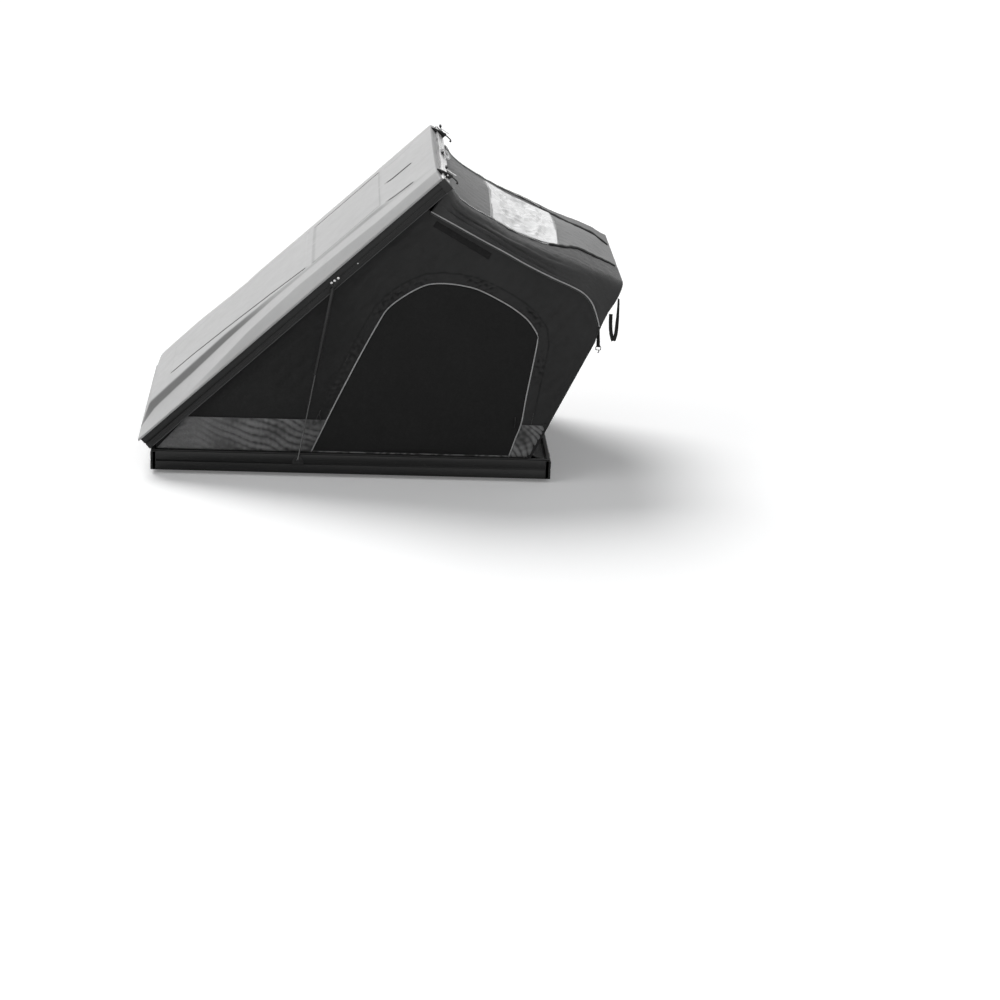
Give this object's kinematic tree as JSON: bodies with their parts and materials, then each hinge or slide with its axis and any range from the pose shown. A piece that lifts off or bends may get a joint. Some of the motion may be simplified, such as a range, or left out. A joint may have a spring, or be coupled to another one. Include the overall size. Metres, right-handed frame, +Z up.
{
  "type": "hard shell rooftop tent",
  "caption": "Wedge-shaped hard shell rooftop tent, opened: hinged moulded lid on gas struts, dark canvas walls with arched doors, folding bow and grey roof cover.",
  "frame": {"origin": "middle of the floor panel's underside", "axes": "+Z up, +X towards the opening end (rear), lid hinge at -X, -Y is the left side"},
  "size_m": [2.5488, 1.403, 1.6841],
  "materials": {
    "lid_grey_white": "satin",
    "black_anodised": "satin black anodised",
    "bright_anodised": "bright anodised",
    "black_coated_steel": "black coated",
    "zinc_steel": "zinc plated",
    "chromed_rod": "polished",
    "dark_alloy_tube": "anodised",
    "black_plastic": "matt",
    "black_rubber": "matt",
    "floor_panel_grey": "painted board",
    "headliner_grey": "felt",
    "mattress_cloth": "woven",
    "dark_canvas": "polycotton canvas",
    "dark_canvas_door": "polycotton canvas",
    "grey_roof_cloth": "coated canvas",
    "grey_skirt_cloth": "coated cloth",
    "clear_film": "clear film",
    "white_webbing": "webbing",
    "black_webbing": "webbing"
  },
  "bodies": {
    "base": {"base_front_rail": "black_anodised", "base_rear_rail": "black_anodised", "base_side_rail_left": "black_anodised", "base_side_rail_right": "black_anodised", "bow_bracket_left": "black_coated_steel", "bow_bracket_right": "black_coated_steel", "floor_panel": "floor_panel_grey", "hinge_base_leaf": "black_anodised", "hinge_pin": "zinc_steel", "latch_keeper_left": "zinc_steel", "latch_keeper_right": "zinc_steel", "mattress": "mattress_cloth", "mounting_channel_left": "bright_anodised", "mounting_channel_right": "bright_anodised", "rear_door": "dark_canvas_door", "rear_wall": "dark_canvas", "rim_seal": "black_rubber", "skirt_left": "grey_skirt_cloth", "skirt_right": "grey_skirt_cloth", "strut_base_bracket_left": "black_coated_steel", "strut_base_bracket_right": "black_coated_steel"},
    "lid": {"lid_shell": "lid_grey_white", "headliner": "headliner_grey", "lid_side_rail_left": "black_anodised", "lid_side_rail_right": "black_anodised", "lid_front_rail": "black_anodised", "lid_rear_rail": "bright_anodised", "hinge_lid_leaf": "black_anodised", "strut_lid_bracket_left": "black_coated_steel", "strut_lid_bracket_right": "black_coated_steel", "latch_bracket_left": "black_coated_steel", "latch_bracket_right": "black_coated_steel", "pull_strap_anchor": "black_plastic", "pull_strap": "white_webbing", "roof_cover": "grey_roof_cloth", "skylight_pane": "clear_film", "side_wall_left": "dark_canvas", "side_wall_right": "dark_canvas", "side_door_left": "dark_canvas_door", "side_door_right": "dark_canvas_door", "hood_strap_left": "black_webbing", "hood_strap_right": "black_webbing"},
    "strut_rods": {"strut_rod_left": "chromed_rod", "strut_rod_right": "chromed_rod"},
    "strut_cylinders": {"strut_cylinder_left": "black_coated_steel", "strut_cylinder_right": "black_coated_steel"},
    "bow": {"bow_tube": "dark_alloy_tube", "bow_knuckle_left": "black_plastic", "bow_knuckle_right": "black_plastic", "hoop_bracket_left": "black_plastic", "hoop_bracket_right": "black_plastic"},
    "hoop": {"canopy_hoop": "dark_alloy_tube", "hoop_knuckle_left": "black_plastic", "hoop_knuckle_right": "black_plastic"},
    "latch_left": {"latch_hook_left": "zinc_steel"},
    "latch_right": {"latch_hook_right": "zinc_steel"}
  },
  "joints": [
    {"name": "lid_hinge", "type": "hinge", "parent": "base", "child": "lid", "pos_m": [-1.079, 0, 0.106], "axis": [0, 1, 0], "range_deg": [0, 43.16], "stiffness_Nm_per_rad": 170, "springref_deg": -114.59, "deforming": ["side_wall_left", "side_wall_right", "side_door_left", "side_door_right", "rear_wall", "rear_door", "skirt_left", "skirt_right", "roof_cover", "skylight_pane", "hood_strap_left", "hood_strap_right"]},
    {"name": "strut_rod_hinge", "type": "hinge", "parent": "base", "child": "strut_rods", "pos_m": [-0.287, 0, 0.075], "axis": [0, 1, 0], "range_deg": [0, 74.4]},
    {"name": "strut_slide", "type": "slide", "parent": "strut_rods", "child": "strut_cylinders", "axis": [0.1724, 0, 0.985], "range_m": [-0.42915, 0]},
    {"name": "bow_hinge", "type": "hinge", "parent": "base", "child": "bow", "pos_m": [0.943, 0, 0.106], "axis": [0, 1, 0], "range_deg": [-115.42, 0]},
    {"name": "hoop_hinge", "type": "hinge", "parent": "bow", "child": "hoop", "pos_m": [1.21728, 0, 0.7396], "axis": [0, 1, 0], "range_deg": [-201.02, 0]},
    {"name": "latch_left", "type": "hinge", "parent": "lid", "child": "latch_left", "pos_m": [0.46231, -0.53, 1.61717], "axis": [0, -1, 0], "range_deg": [0, 32]},
    {"name": "latch_right", "type": "hinge", "parent": "lid", "child": "latch_right", "pos_m": [0.46231, 0.53, 1.61717], "axis": [0, -1, 0], "range_deg": [0, 32]}
  ],
  "couplings": [
    {"joint": "strut_rod_hinge", "follows": "lid_hinge", "ratio": 1.7237},
    {"joint": "strut_slide", "follows": "lid_hinge", "m_per_rad": -0.56944},
    {"joint": "bow_hinge", "follows": "lid_hinge", "ratio": -2.6738},
    {"joint": "hoop_hinge", "follows": "lid_hinge", "ratio": -4.6571}
  ]
}
